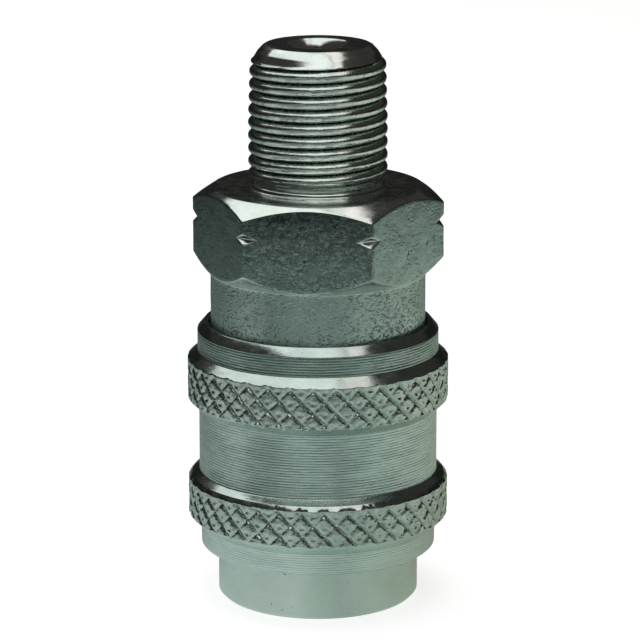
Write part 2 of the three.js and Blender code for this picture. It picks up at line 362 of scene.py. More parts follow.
def brightZinc(name, low, high):
    # polished by the tool: chamfers, shoulders, collar and rims
    f = Finish(name)
    marks = feedMarks(f, 0.09, 0.02)
    smear = f.speckle(0.9, 4.0, 0.6, where=f.stretched((1, 1, 3)))
    normal = f.bump(marks, 0.0012)
    normal = f.bump(smear, 0.008, normal)
    color = f.ramp(f.speckle(1.4, 4.0, 0.6), [(0.35, low), (0.65, high)])
    nicks = f.remap(f.speckle(0.35, 3.0, 0.6), 0.0, 1.0, 0.68, 0.74)
    color = f.tint(f.times(nicks, 0.5), color, (0.2, 0.2, 0.18, 1))
    return f.set(color=color, metallic=1.0, normal=normal, roughness=f.remap(smear, 0.10, 0.24, 0.3, 0.7))


def threadZinc():
    f = Finish("thread zinc")
    smear = f.speckle(0.7, 4.0, 0.6, where=f.stretched((1, 1, 4)))
    grain = f.speckle(0.13, 3.0, 0.6, where=f.stretched((1, 1, 2)))
    normal = f.bump(smear, 0.02)
    normal = f.bump(grain, 0.006, normal)
    color = f.ramp(smear, [(0.35, (0.62, 0.68, 0.63)), (0.65, (0.75, 0.80, 0.75))])
    return f.set(color=color, metallic=1.0, normal=normal, roughness=f.remap(smear, 0.10, 0.22, 0.3, 0.7))


def threadRootShade():
    # torn, unpolished metal at the bottom of the thread, darkened there with painted shade
    f = Finish("shaded thread root")
    grain = f.speckle(0.22, 4.0, 0.65)
    normal = f.bump(grain, 0.05)
    # mostly dark: painted shade in the thread's root, with lighter grains of torn metal
    color = f.ramp(grain, [
        (0.35, (0.05, 0.065, 0.06)), (0.55, (0.22, 0.27, 0.25)), (0.68, (0.60, 0.68, 0.63))])
    return f.set(color=color, metallic=1.0, normal=normal, roughness=f.remap(grain, 0.25, 0.5, 0.3, 0.7))


def bandZinc(name, feed, depth, low, high, grooveShade):
    # turned metal with a visible feed, with painted shade along the bottom of each mark
    f = Finish(name)
    marks = feedMarks(f, feed)
    streak = f.speckle(1.0, 5.0, 0.65, where=f.stretched((1, 1, 22)))
    fine = f.speckle(0.35, 3.0, 0.6, where=f.stretched((1, 1, 9)))
    uneven = f.remap(f.speckle(3.0, 3.0, 0.6, where=f.stretched((1, 1, 5))), 0.4, 1.0, 0.35, 0.6)
    ridge = f.times(marks, uneven)
    normal = f.bump(ridge, depth)
    normal = f.bump(streak, depth * 0.45, normal)
    normal = f.bump(fine, depth * 0.25, normal)
    color = f.ramp(streak, [(0.32, low), (0.68, high)])
    # painted shade: the bottom of each feed mark is darkened
    dark = f.remap(marks, 1.0, 0.0, 0.0, 0.16)
    color = f.tint(f.times(dark, f.times(uneven, grooveShade)), color, (0.06, 0.07, 0.068, 1))
    return f.set(color=color, metallic=1.0, normal=normal, roughness=f.remap(fine, 0.20, 0.34, 0.3, 0.7))


def knurlZinc():
    f = Finish("knurled zinc")
    grain = f.speckle(0.22, 3.0, 0.6)
    chatter = f.speckle(0.5, 4.0, 0.6)
    normal = f.bump(chatter, 0.07)
    normal = f.bump(grain, 0.02, normal)
    color = f.ramp(f.speckle(0.6, 4.0, 0.6), [(0.3, (0.46, 0.54, 0.50)), (0.7, (0.66, 0.74, 0.69))])
    return f.set(color=color, metallic=1.0, normal=normal, roughness=f.remap(chatter, 0.14, 0.30, 0.3, 0.7))


def noseZinc():
    f = Finish("satin nose zinc")
    marks = feedMarks(f, 0.12, 0.05)
    cloud = f.speckle(1.8, 5.0, 0.6)
    grain = f.speckle(0.2, 3.0, 0.6)
    normal = f.bump(marks, 0.002)
    normal = f.bump(grain, 0.012, normal)
    color = f.ramp(cloud, [(0.3, (0.61, 0.69, 0.645)), (0.7, (0.71, 0.80, 0.75))])
    specks = f.remap(f.speckle(0.5, 1.0, 0.4), 0.0, 1.0, 0.74, 0.78)
    color = f.tint(f.times(specks, 0.6), color, (0.10, 0.075, 0.05, 1))
    return f.set(color=color, metallic=1.0, normal=normal, roughness=f.remap(cloud, 0.22, 0.32, 0.3, 0.7))


def plainMetal(name, low, high, roughLow, roughHigh, feed=0.1, depth=0.002):
    f = Finish(name)
    marks = feedMarks(f, feed, 0.03)
    cloud = f.speckle(1.0, 4.0, 0.6)
    normal = f.bump(marks, depth)
    normal = f.bump(f.speckle(0.2, 3.0), depth * 2, normal)
    return f.set(color=f.ramp(cloud, [(0.3, low), (0.7, high)]), metallic=1.0, normal=normal,
                 roughness=f.remap(cloud, roughLow, roughHigh, 0.3, 0.7))


def softPlain(name, low, high, roughLow, roughHigh, depth):
    f = Finish(name)
    cloud = f.speckle(0.9, 4.0, 0.6)
    normal = f.bump(f.speckle(0.16, 3.0), depth)
    return f.set(color=f.ramp(cloud, [(0.3, low), (0.7, high)]), metallic=0.0, normal=normal,
                 roughness=f.remap(cloud, roughLow, roughHigh, 0.3, 0.7))


forged = forgedZinc()
hammered = neckZinc()
bright = brightZinc("bright zinc", (0.72, 0.78, 0.74), (0.82, 0.87, 0.83))
shoulderFinish = brightZinc("sleeve shoulder zinc", (0.52, 0.60, 0.56), (0.64, 0.71, 0.67))
threaded = threadZinc()
rootShadeFinish = threadRootShade()
bandFinish = bandZinc("turned zinc band", 0.20, 0.020, (0.43, 0.54, 0.51), (0.75, 0.87, 0.83), 1.4)
lipFinish = bandZinc("turned zinc lip", 0.20, 0.032, (0.27, 0.36, 0.33), (0.60, 0.72, 0.68), 2.0)
lowerLipFinish = bandZinc("turned zinc lower lip", 0.18, 0.012, (0.62, 0.73, 0.69), (0.82, 0.93, 0.88), 0.8)
knurled = knurlZinc()
satin = noseZinc()
springMetal = plainMetal("spring steel", (0.42, 0.42, 0.42), (0.56, 0.56, 0.55), 0.22, 0.38)
ballMetal = plainMetal("ball steel", (0.72, 0.73, 0.74), (0.80, 0.81, 0.82), 0.06, 0.12, depth=0.0003)
brass = plainMetal("turned brass", (0.62, 0.45, 0.19), (0.72, 0.55, 0.26), 0.2, 0.34, depth=0.004)
rubber = softPlain("black rubber", (0.010, 0.010, 0.011), (0.022, 0.022, 0.024), 0.5, 0.68, 0.01)
whitePlastic = softPlain("backup ring plastic", (0.66, 0.64, 0.58), (0.76, 0.74, 0.69), 0.42, 0.56, 0.008)
print("finishes made")


# adapter: pipe thread, collar, hexagon and neck

adapter = {
    "topZ": 41.27, "threadPitch": 25.4 / 27, "threadTaper": 1 / 32, "threadEndR": 4.9, "threadDepth": 0.5,
    "crestLimit": 5.07, "rootDepth": 0.31, "upperFlank": 0.72, "lowerFlank": 0.4,
    "tornShare": 0.80, "tornWidth": 0.12, "tornDepth": 0.05,
    "endProfile": [(0.0, 3.8), (0.1, 4.0), (0.5, 4.38), (1.0, 4.68), (1.5, 5.2)],  # depth, radius
    "boreMouthR": 2.45, "boreR": 1.95,
    "threadFootZ": 31.36, "runOutFrom": 0.32, "runOutSlope": 1.3, "reliefR": 4.72,
    "collarR": 4.985, "collarTopZ": 31.26, "collarEdge": 0.26,
    "hexTopZ": 30.87, "hexTopFlatR": 7.65, "hexTopSlope": 0.67, "hexAcrossFlats": 16.0, "hexCornerR": 9.2,
    "grooveZ": 28.45, "grooveFloorR": 8.76, "grooveDown": 0.95, "grooveUp": 1.0,
    "neckR": 7.88, "neckTopZ": 24.5, "neckFootZ": 19.0, "neckChamferSlope": 0.95,
    "neckFootEdge": 0.25, "faceWaves": (0.012, 0.006),
    "columns": 6 * 48, "threadRows": 14, "edgeReach": 0.07,
}


def crestRadius(height):
    a = adapter
    return min(a["threadEndR"] + (a["topZ"] - height) * a["threadTaper"], a["crestLimit"])


def threadRadius(share, height, angle):
    # a rounded crest at share 0 or 1 and a sharp root at a half
    a = adapter
    lobe = abs(cos(pi * share)) ** (a["upperFlank"] if share < 0.5 else a["lowerFlank"])
    radius = crestRadius(height) - a["threadDepth"] * (1 - lobe)
    # torn metal along the lower side of each crest
    torn = max(0.0, 1 - abs(share - a["tornShare"]) / a["tornWidth"])
    at = Vector((cos(angle) * 16, sin(angle) * 16, height * 5))
    radius += a["tornDepth"] * torn * noise.noise(at)
    # the thread runs out above the collar and is cut back by the end chamfer
    runOut = a["reliefR"] + max(0.0, height - a["threadFootZ"] - a["runOutFrom"]) * a["runOutSlope"]
    drop = max(a["topZ"] - height, 0.0)
    for (d0, r0), (d1, r1) in zip(a["endProfile"], a["endProfile"][1:]):
        if d0 <= drop < d1:
            radius = min(radius, r0 + (r1 - r0) * (drop - d0) / (d1 - d0))
    return min(radius, runOut)


def threadShell():
    # one turn of the helix is spun, then copied up one pitch at a time
    a = adapter
    pitch = a["threadPitch"]
    bm = bmesh.new()
    rows = a["threadRows"]
    footZ = a["threadFootZ"] - 2 * pitch
    outline = [(5.0, footZ + pitch * i / rows) for i in range(rows + 1)]
    verts, edges = wireOutline(bm, outline, closed=False)
    spun(bm, verts + edges, 2 * pi, a["columns"], rise=pitch * mm / a["columns"])
    turns = ceil((a["topZ"] - footZ) / pitch)
    spun(bm, bm.verts[:] + bm.edges[:] + bm.faces[:], turns * 2 * pi, turns, rise=pitch * mm, copies=True)
    bmesh.ops.remove_doubles(bm, verts=bm.verts, dist=seam)
    for cutZ, outward in ((a["topZ"], 1), (a["threadFootZ"], -1)):
        bmesh.ops.bisect_plane(bm, geom=bm.verts[:] + bm.edges[:] + bm.faces[:], dist=tiny,
                               plane_co=(0, 0, cutZ * mm), plane_no=(0, 0, outward), clear_outer=True)
    for vert in bm.verts:
        height = vert.co.z / mm
        angle = atan2(vert.co.y, vert.co.x)
        share = ((height - footZ) / pitch - angle / (2 * pi)) % 1.0
        radius = threadRadius(share, height, angle)
        vert.co.x = radius * mm * cos(angle)
        vert.co.y = radius * mm * sin(angle)
    return bm


def spread(start, end, parts):
    # points from start up to, but not including, end
    return [(start[0] + (end[0] - start[0]) * i / parts, start[1] + (end[1] - start[1]) * i / parts)
            for i in range(parts)]


def hexColumn(angle):
    # the adapter's outside below the thread, from its foot up, at one angle round the axis
    a = adapter
    edge, reach = a["collarEdge"], a["edgeReach"]
    leastGroove = 0.01
    sector = (angle + pi / 6) % (pi / 3) - pi / 6
    cornerAngle = pi / 6 - abs(sector)
    flatR = min(a["hexAcrossFlats"] / 2 / cos(cornerAngle), a["hexCornerR"])
    lowZ = a["neckTopZ"] + (flatR - a["neckR"]) * a["neckChamferSlope"]
    highZ = a["hexTopZ"] - (flatR - a["hexTopFlatR"]) * a["hexTopSlope"]
    cut = max(flatR - a["grooveFloorR"], 0.0)
    grooveR = min(flatR, a["grooveFloorR"])
    grooveLowZ = a["grooveZ"] - max(cut * a["grooveDown"], leastGroove)
    grooveHighZ = a["grooveZ"] + max(cut * a["grooveUp"], leastGroove)
    # each knot has the number of parts that the stretch above it is divided into
    knots = [
        ((a["neckR"] - a["neckFootEdge"], a["neckFootZ"]), 1),
        ((a["neckR"], a["neckFootZ"] + a["neckFootEdge"]), 28),
        ((a["neckR"], a["neckTopZ"]), 3),
        ((flatR, lowZ), 22),
        ((flatR, grooveLowZ), 3),
        ((grooveR, a["grooveZ"]), 3),
        ((flatR, grooveHighZ), 12),
        ((flatR, highZ), 3),
        ((a["hexTopFlatR"], a["hexTopZ"]), 3),
        ((a["collarR"] + 0.1, a["hexTopZ"]), 1),
        ((a["collarR"], a["hexTopZ"] + 0.08), 2),
        ((a["collarR"], a["collarTopZ"] - edge), 1),
        ((a["collarR"] - 0.06, a["collarTopZ"] - 0.1), 1),
        ((a["collarR"] - 0.24, a["collarTopZ"]), 1),
    ]
    # every corner gives way to a small arc
    arcs = []
    for (before, _), (corner, _), (after, _) in zip(knots, knots[1:], knots[2:]):
        here, below, above = Vector(corner), Vector(before), Vector(after)
        start = here + (below - here) * min(0.4, reach / (below - here).length)
        end = here + (above - here) * min(0.4, reach / (above - here).length)
        arcs.append((tuple(start), tuple((start + here * 2 + end) / 4), tuple(end)))
    leave = knots[0][0]
    points = []
    for (_, parts), (start, middle, end) in zip(knots, arcs):
        points += spread(leave, start, parts) + [start, middle]
        leave = end
    points += [leave, knots[-1][0]]
    return points


def adapterInside():
    # down the flow bore and out to the neck's foot
    a = adapter
    return [
        (a["boreMouthR"], a["topZ"]), (a["boreMouthR"] - 0.22, a["topZ"] - 0.24),
        (a["boreR"], a["topZ"] - 0.95),
        (a["boreR"], 29.6), (3.7, 28.3), (3.7, 26.05), (5.85, 26.05),
        (5.85, 22.9), (6.4, 22.6), (6.4, a["neckFootZ"]),
        (a["neckR"] - a["neckFootEdge"], a["neckFootZ"]),
    ]


def makeAdapter():
    a = adapter
    columns = {}

    def place(row, angle):
        key = round(degrees(angle), 4)
        if key not in columns:
            columns[key] = hexColumn(angle)
        r, z = columns[key][row]
        # forged faces and neck aren't quite flat or round
        if a["neckFootZ"] + 0.5 < z < a["hexTopZ"] - 0.2 and r > a["neckR"] - 0.01:
            at = Vector((r * cos(angle), r * sin(angle), z))
            broad, small = a["faceWaves"]
            r += broad * noise.noise(at * 0.9) + small * noise.noise(at * 2.7 + Vector((5, 0, 0)))
        return r * cos(angle), r * sin(angle), z

    body = turnedGrid(len(hexColumn(0.0)), a["columns"], place, closed=False)
    joined(body, threadShell())
    joined(body, turned(adapterInside(), a["columns"], closed=False))
    bmesh.ops.remove_doubles(body, verts=body.verts, dist=seam)
    # the thread's two open ends are joined to the collar and to the bore's mouth
    zipRings(body, openRing(body, a["collarTopZ"]), openRing(body, a["threadFootZ"]))
    zipRings(body, openRing(body, a["topZ"], lowR=3.0), openRing(body, a["topZ"], highR=3.0))
    bmesh.ops.recalc_face_normals(body, faces=body.faces)

    forgedSlot, neckSlot, brightSlot, threadSlot, rootSlot = range(5)

    def paint(r, z, normal):
        upright = abs(normal.z) < 0.35
        if a["threadFootZ"] + 0.02 < z < a["topZ"] - 0.02 and r > 3:
            if z > a["topZ"] - a["endProfile"][-2][0]:
                return brightSlot
            # the deepest part of the thread takes the root finish with its painted shade
            atRoot = r < crestRadius(z) - a["rootDepth"] and z > a["threadFootZ"] + 0.5
            return rootSlot if atRoot else threadSlot
        if z > a["neckTopZ"] and r > a["neckR"] + 0.02 and upright:
            return forgedSlot
        if z < a["neckTopZ"] and r > a["neckR"] - 0.18:
            return neckSlot
        return brightSlot

    finishPiece("adapter", body, "root", "adapter_body",
                [forged, hammered, bright, threaded, rootShadeFinish], paint, sharpAngle=25, weighted=False)


makeAdapter()
print("adapter made")


# locking sleeve

sleeve = {
    "footZ": 3.87, "topZ": 20.85, "knurlR": 9.61, "grooves": 36, "knurlPitch": 1.68,
    "deepCut": 0.20, "deepWidth": 0.24, "crossCut": 0.11, "crossWidth": 0.17, "crossShift": 0.35,
    "dome": 0.16, "pit": 0.15, "pitShift": 0.08, "pitSpread": 0.03, "lumps": 0.05, "wander": 0.03,
    "edgeFade": 0.3, "edgeLeast": 0.35, "leastR": 8.9,
    "knurls": [(6.30, 8.95), (15.15, 18.09)], "columns": 36 * 15, "rowStep": 0.085, "edgeRound": 0.07,
}


def grooveShape(phase, width):
    # 1 along the bottom of the groove, which lies at whole numbers, and 0 beyond its width
    away = abs(phase - floor(phase + 0.5)) * 2
    return max(0.0, 1 - away / width)


def knurlDepth(angle, z):
    s = sleeve
    wander = s["wander"] * noise.noise(Vector((cos(angle) * 5, sin(angle) * 5, z * 0.8)))
    around = s["grooves"] * angle / (2 * pi) + wander
    down = around + z / s["knurlPitch"]
    across = around - z / s["knurlPitch"] + s["crossShift"]
    depth = max(s["deepCut"] * grooveShape(down, s["deepWidth"]),
                s["crossCut"] * grooveShape(across, s["crossWidth"]))
    # each diamond is a low dome with a pit that the knurling wheel leaves below its middle
    du = down - floor(down) - 0.5
    dv = across - floor(across) - 0.5
    depth += s["dome"] * (du * du + dv * dv)
    pitAway = (du + s["pitShift"]) ** 2 + (dv - s["pitShift"]) ** 2
    pitSize = 0.6 + 0.6 * noise.noise(Vector((floor(down), floor(across), 3)))
    depth += s["pit"] * max(0.0, 1 - pitAway / s["pitSpread"]) * pitSize
    depth += s["lumps"] * noise.noise(Vector((cos(angle) * 34, sin(angle) * 34, z * 4)))
    # the shoulder above was turned after knurling, so the pattern is shallow at its edge
    if any(0 <= z - high < 1 for _, high in s["knurls"]):
        return depth * s["edgeLeast"]
    nearest = min(abs(z - high) for _, high in s["knurls"])
    return depth * min(1.0, s["edgeLeast"] + (1 - s["edgeLeast"]) * nearest / s["edgeFade"])


def sleeveOutline():
    # up the outside, over the rim and down the inside
    s = sleeve
    (lowA, lowB), (highA, highB) = s["knurls"]
    return [
        (8.12, s["footZ"]), (8.54, s["footZ"]), (8.67, s["footZ"] + 0.13), (8.69, 5.42),
        (s["knurlR"], lowA), (s["knurlR"], lowB), (9.33, 9.28), (8.79, 9.63), (8.785, 14.37),
        (s["knurlR"], highA), (s["knurlR"], highB), (8.87, 18.72), (8.87, 20.22),
        (8.50, 20.64), (8.36, 20.81), (8.18, s["topZ"]), (8.08, s["topZ"] - 0.1),
        (8.08, 11.0), (7.5, 11.0), (7.5, 8.9), (7.87, 6.2), (8.12, 6.2),
    ]


def makeSleeve():
    s = sleeve
    soft = soften(sleeveOutline(), s["edgeRound"], arcSteps=2)
    rows = []
    for (r0, z0), (r1, z1) in zip(soft, soft[1:] + soft[:1]):
        length = hypot(r1 - r0, z1 - z0)
        parts = 1
        if min(r0, r1) > 8.6 and length > 0.5:
            # only the knurled stretches need close rows
            parts = ceil(length / s["rowStep"]) if max(r0, r1) > 9.3 else 3
        rows += spread((r0, z0), (r1, z1), parts)

    def place(row, angle):
        r, z = rows[row]
        for low, high in s["knurls"]:
            if low - 1.0 < z < high + 1.0 and r > 8.75:
                cut = s["knurlR"] - knurlDepth(angle, z)
                # the knurl only bites where the metal stands proud of it
                r = min(r, max(cut, s["leastR"]))
        return r * cos(angle), r * sin(angle), z

    bm = turnedGrid(len(rows), s["columns"], place)
    knurlSlot, bandSlot, lipSlot, shoulderSlot, lowerLipSlot, insideSlot = range(6)

    def paint(r, z, normal):
        if r < 8.15 and z < s["topZ"] - 0.2:
            return insideSlot
        for low, high in s["knurls"]:
            if low - 0.02 < z < high + 0.03:
                return knurlSlot
            if low - 0.95 < z <= low - 0.02:
                return lowerLipSlot
            if high + 0.03 <= z < high + 0.67:
                return shoulderSlot
        if z > 20.22:
            return shoulderSlot
        if z > 18:
            return lipSlot
        return bandSlot if z > 9 else lowerLipSlot

    finishPiece("locking_sleeve_shell", bm, "sleeve", "locking_sleeve",
                [knurled, bandFinish, lipFinish, shoulderFinish, lowerLipFinish, satin], paint,
                sharpAngle=50, weighted=False)


makeSleeve()
print("sleeve made")


# socket body: nose, ball holes and valve chamber

socket = {
    "noseR": 7.41, "noseChamfer": 0.33, "boreR": 4.9, "ballR": 1.5, "ballZ": 9.0, "balls": 6,
    "holeGap": 0.1, "holeSeatR": 1.28, "holeSeatTopR": 5.6, "steps": 240,
}


def socketOutline():
    # up the outside from the nose, then down through the valve chamber and the bore
    s = socket
    return [
        (5.3, 0.0), (7.08, 0.0), (s["noseR"], s["noseChamfer"]), (s["noseR"], 5.2), (6.96, 5.2), (6.96, 6.3),
        (s["noseR"], 6.3), (s["noseR"], 10.55), (6.6, 10.9), (6.6, 18.7), (6.3, 18.7), (6.3, 22.25),
        (5.75, 22.5), (5.75, 22.85), (5.05, 22.85), (5.05, 24.25), (5.75, 24.25), (5.75, 24.7), (4.2, 24.7),
        (4.2, 16.3), (3.3, 15.4), (3.3, 14.6), (4.45, 14.6), (4.45, 12.4), (3.3, 12.4), (3.3, 11.8),
        (s["boreR"], 11.2), (s["boreR"], 0.5),
    ]


def makeSocket():
    s = socket
    bm = turned(soften(socketOutline(), 0.06), s["steps"])
    holes = bmesh.new()
    seatR, holeR = s["holeSeatR"], s["ballR"] + s["holeGap"]
    inside, outside = s["boreR"] - 0.9, s["noseR"] + 1
    for k in range(s["balls"]):
        # narrower at the bore, so that the ball stays in
        outline = [(0, inside), (seatR, inside), (seatR, s["boreR"]), (holeR, s["holeSeatTopR"]),
                   (holeR, outside), (0, outside)]
        hole = turned(outline, 64, closed=False)
        rotated(hole, hole.verts, pi / 2, "Y")
        rotated(hole, hole.verts, 2 * pi * k / s["balls"], "Z")
        bmesh.ops.translate(hole, verts=hole.verts, vec=(0, 0, s["ballZ"] * mm))
        joined(holes, hole)
    bm = cutBy(bm, holes)
    finishPiece("socket_body_shell", bm, "root", "socket_body", [satin], sharpAngle=50)


def makeBalls():
    s = socket
    centreR = s["noseR"] - s["ballR"]
    for k in range(s["balls"]):
        angle = 2 * pi * k / s["balls"]
        bm = bmesh.new()
        bmesh.ops.create_uvsphere(bm, u_segments=48, v_segments=24, radius=s["ballR"] * mm)
        bmesh.ops.translate(bm, verts=bm.verts, vec=Vector((
            centreR * cos(angle), centreR * sin(angle), s["ballZ"])) * mm)
        finishPiece(f"polished_ball_{k + 1}", bm, f"ball_{k + 1}", f"locking_ball_{k + 1}",
                    [ballMetal], weighted=False)


makeSocket()
makeBalls()
print("socket body and balls made")


# springs, washer and retaining ring

springs = {
    "sleeve": {"radius": 7.22, "footZ": 11.75, "topZ": 18.95, "wireR": 0.33, "coils": 4.5, "travel": 3.2},
    "valve": {"radius": 2.6, "footZ": 17.75, "topZ": 24.8, "wireR": 0.25, "coils": 6.0, "travel": 3.0},
}


def coilSpring(radius, footZ, topZ, wireR, coils, travel, stepsPerTurn=48, sides=12):
    # a closed coil at each end and an even pitch between them, spun one stretch after another
    bm = bmesh.new()
    circle = bmesh.ops.create_circle(bm, cap_ends=False, segments=sides, radius=wireR * mm)["verts"]
    rotated(bm, circle, pi / 2, "X")
    bmesh.ops.translate(bm, verts=circle, vec=Vector((radius, 0, footZ + wireR)) * mm)
    closedPitch = 2 * wireR * 1.06
    openPitch = (topZ - footZ - 2 * wireR - 2 * closedPitch) / (coils - 2)
    firstLoop = list({e for v in circle for e in v.link_edges})
    geom = circle + firstLoop
    for turnCount, pitch in ((1, closedPitch), (coils - 2, openPitch), (1, closedPitch)):
        steps = round(turnCount * stepsPerTurn)
        rise = pitch * turnCount * mm / steps
        geom = spun(bm, geom, turnCount * 2 * pi, steps, rise)["geom_last"]
    rims = [e for e in bm.edges if e.is_boundary]
    bmesh.ops.holes_fill(bm, edges=rims, sides=0)
    bmesh.ops.recalc_face_normals(bm, faces=bm.faces)
    return bm


def makeSprings():
    for key, node in (("sleeve", "sleeve_spring"), ("valve", "valve_spring")):
        s = springs[key]
        piece = finishPiece(f"{node}_coil", coilSpring(**s), "root", node, [springMetal],
                            weighted=False)
        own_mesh(piece)


washer = {"innerR": 6.75, "outerR": 7.93, "lowZ": 11.08, "highZ": 11.7, "edgeRound": 0.08}
retainingRing = {"radius": 7.5, "wireR": 0.5, "z": 5.75, "gap": 0.3, "sides": 20, "steps": 120}


def flatRing(innerR, outerR, lowZ, highZ, edgeRound=0.08):
    outline = [(innerR, lowZ), (outerR, lowZ), (outerR, highZ), (innerR, highZ)]
    return turned(soften(outline, edgeRound), 128)


def makeWasher():
    finishPiece("washer_disc", flatRing(**washer), "spring_washer", "sleeve_washer",
                [springMetal])


def makeRetainingRing():
    # a round wire with a gap, in radians, at the back
    s = retainingRing
    bm = bmesh.new()
    circle = bmesh.ops.create_circle(bm, cap_ends=True, segments=s["sides"],
                                     radius=s["wireR"] * mm)["verts"]
    rotated(bm, circle, pi / 2, "X")
    bmesh.ops.translate(bm, verts=circle, vec=Vector((s["radius"], 0, s["z"])) * mm)
    rotated(bm, circle, s["gap"] / 2 + pi / 2, "Z")
    geom = circle + list({e for v in circle for e in v.link_edges}) + bm.faces[:]
    spun(bm, geom, 2 * pi - s["gap"], s["steps"])
    bmesh.ops.recalc_face_normals(bm, faces=bm.faces)
    finishPiece("retaining_wire", bm, "root", "retaining_ring", [springMetal],
                weighted=False)


makeSprings()
makeWasher()
makeRetainingRing()
print("springs, washer and retaining ring made")


# seals and backup rings

seals = {
    # body, radius, half thickness, height
    "interface_seal": ("root", 3.8, 0.6, 13.06),
    "body_seal": ("root", 5.46, 0.37, 23.24),
    "valve_seal": ("poppet", 3.16, 0.42, 15.9),
}
backupRings = {
    # inner radius, outer radius, low, high
    "interface_backup_ring": (3.36, 4.4, 13.74, 14.54),
    "body_backup_ring": (5.1, 5.8, 23.66, 24.2),
}


def roundRing(radius, sectionR, z, steps=128, sides=20):
    outline = [(radius + sectionR * cos(2 * pi * k / sides), z + sectionR * sin(2 * pi * k / sides))
               for k in range(sides)]
    return turned(outline, steps)


def makeSeals():
    for node, (body, *size) in seals.items():
        finishPiece(f"{node}_ring", roundRing(*size), body, node, [rubber], weighted=False)
    for node, size in backupRings.items():
        finishPiece(f"{node}_band", flatRing(*size), "root", node, [whitePlastic])


makeSeals()
print("seals made")


# valve poppet and its guide

valve = {
    "stemR": 0.95, "guideFootZ": 24.85, "guideTopZ": 25.95, "guideR": 5.7, "stemGap": 0.1,
    "legs": 3, "windowInnerR": 3.1, "windowOuterR": 4.4, "legHalf": 0.7, "hubR": 1.8, "hubFootZ": 23.4,
}


def makePoppet():
    outline = [
        (0, 12.3), (1.2, 12.3), (1.5, 12.6), (1.5, 14.45), (2.6, 14.84), (3.1, 15.34), (2.7, 15.42),
        (2.7, 16.38), (3.85, 16.42), (3.85, 17.3), (3.45, 17.7), (1.6, 17.7), (1.6, 18.3),
        (valve["stemR"], 18.5), (valve["stemR"], 25.2), (0.7, 25.5), (0, 25.5),
    ]
    bm = turned(soften(outline, 0.07, closed=False), 128, closed=False)
    finishPiece("poppet_stem", bm, "poppet", "valve_poppet", [brass], sharpAngle=50)


def makeGuide():
    v = valve
    low, high = v["guideFootZ"], v["guideTopZ"]
    bore = v["stemR"] + v["stemGap"]
    outline = [(bore, v["hubFootZ"]), (v["hubR"], v["hubFootZ"]), (v["hubR"], low), (v["guideR"], low),
               (v["guideR"], high), (bore, high)]
    plate = turned(soften(outline, 0.06), 144)
    # three kidney-shaped windows leave three legs
    windows = bmesh.new()
    inner, outer = v["windowInnerR"], v["windowOuterR"]
    margin = v["legHalf"] / ((inner + outer) / 2)
    for k in range(v["legs"]):
        block = bmesh.new()
        side = [(inner, low - 1), (outer, low - 1), (outer, high + 1), (inner, high + 1)]
        verts, edges = wireOutline(block, side)
        face = block.faces.new(verts)
        rotated(block, block.verts, 2 * pi * k / v["legs"] + margin, "Z")
        spun(block, verts + edges + [face], 2 * pi / v["legs"] - 2 * margin, 36)
        bmesh.ops.recalc_face_normals(block, faces=block.faces)
        joined(windows, block)
    bm = cutBy(plate, windows)
    finishPiece("guide_spider", bm, "root", "valve_guide", [brass], sharpAngle=50)


makePoppet()
makeGuide()
print("valve made")


# floor, lights and camera

stage = {
    "lens": 186.95, "sensor": 36.0, "pitch": 14.36, "turn": 5.5,
    "aim": 20.73, "distance": 244.4, "sideShift": 0.15,
    "floorGlow": 0.74, "tableGlow": 1.2, "roomGlow": 1.0, "roomR": 0.5, "roomHeight": 0.19,
    "panelTurn": 31, "panels": {
        # place and size in metres, watts, colour
        "overhead": ((-0.108, -0.008, 0.36), (0.275, 0.80), 0.71, (0.95, 1.0, 0.975)),
        "overhead_warm": ((0.062, 0.093, 0.36), (0.10, 0.80), 0.26, (1.0, 0.94, 0.92)),
    },
}


def makeFloor():
    bm = bmesh.new()
    bmesh.ops.create_grid(bm, x_segments=1, y_segments=1, size=4.0)
    ground = meshObject("floor", bm)
    f = Finish("pale floor")
    f.shader.inputs["Emission Color"].default_value = (1, 1, 1, 1)
    f.shader.inputs["Emission Strength"].default_value = stage["floorGlow"]
    ground.data.materials.append(f.set(color=(0.9, 0.9, 0.9, 1), roughness=0.9))
    ground.visible_glossy = False


def hideFromView(thing):
    # seen in mirrors only
    thing.visible_camera = False
    thing.visible_diffuse = False
    thing.visible_shadow = False


